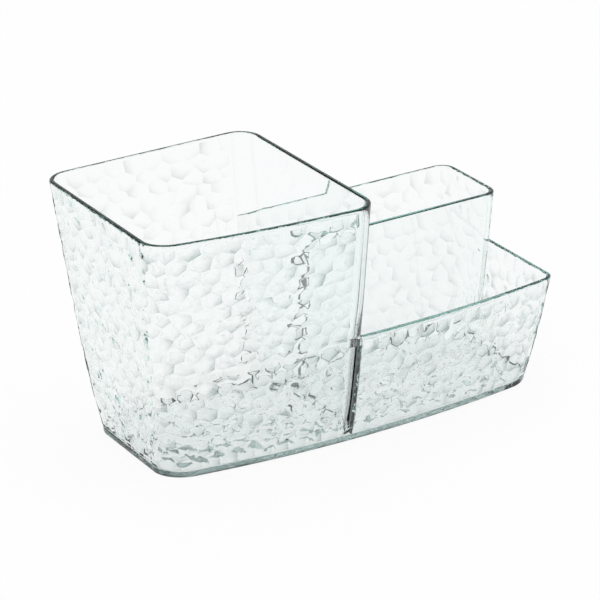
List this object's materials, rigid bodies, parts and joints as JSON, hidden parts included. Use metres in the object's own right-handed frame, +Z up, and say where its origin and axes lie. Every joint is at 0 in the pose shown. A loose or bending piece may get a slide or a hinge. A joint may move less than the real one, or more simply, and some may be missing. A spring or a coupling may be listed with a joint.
{
  "type": "brush organizer",
  "caption": "Clear hammered-plastic brush organizer: a tall brush bin, a mid-height rear bin and a low front tray side by side on a shared base with a bowed front.",
  "frame": {"origin": "middle of the overall box in plan, on the surface the base stands on", "axes": "+X runs along the length from the tall bin to the tray, +Y from the bowed front to the rear, +Z up"},
  "size_m": [0.2304, 0.121, 0.13],
  "materials": {
    "clear_base": "clear moulded plastic, polished",
    "clear_tall_bin": "clear moulded plastic, hammered outside, smooth inside",
    "clear_rear_bin": "clear moulded plastic, hammered outside, smooth inside",
    "clear_tray": "clear moulded plastic, hammered outside, smooth inside"
  },
  "bodies": {
    "root": {"base_plate": "clear_base", "tall_bin_wall": "clear_tall_bin", "shared_wall": "clear_tall_bin", "rear_bin_wall": "clear_rear_bin", "front_tray_wall": "clear_tray"}
  },
  "joints": []
}
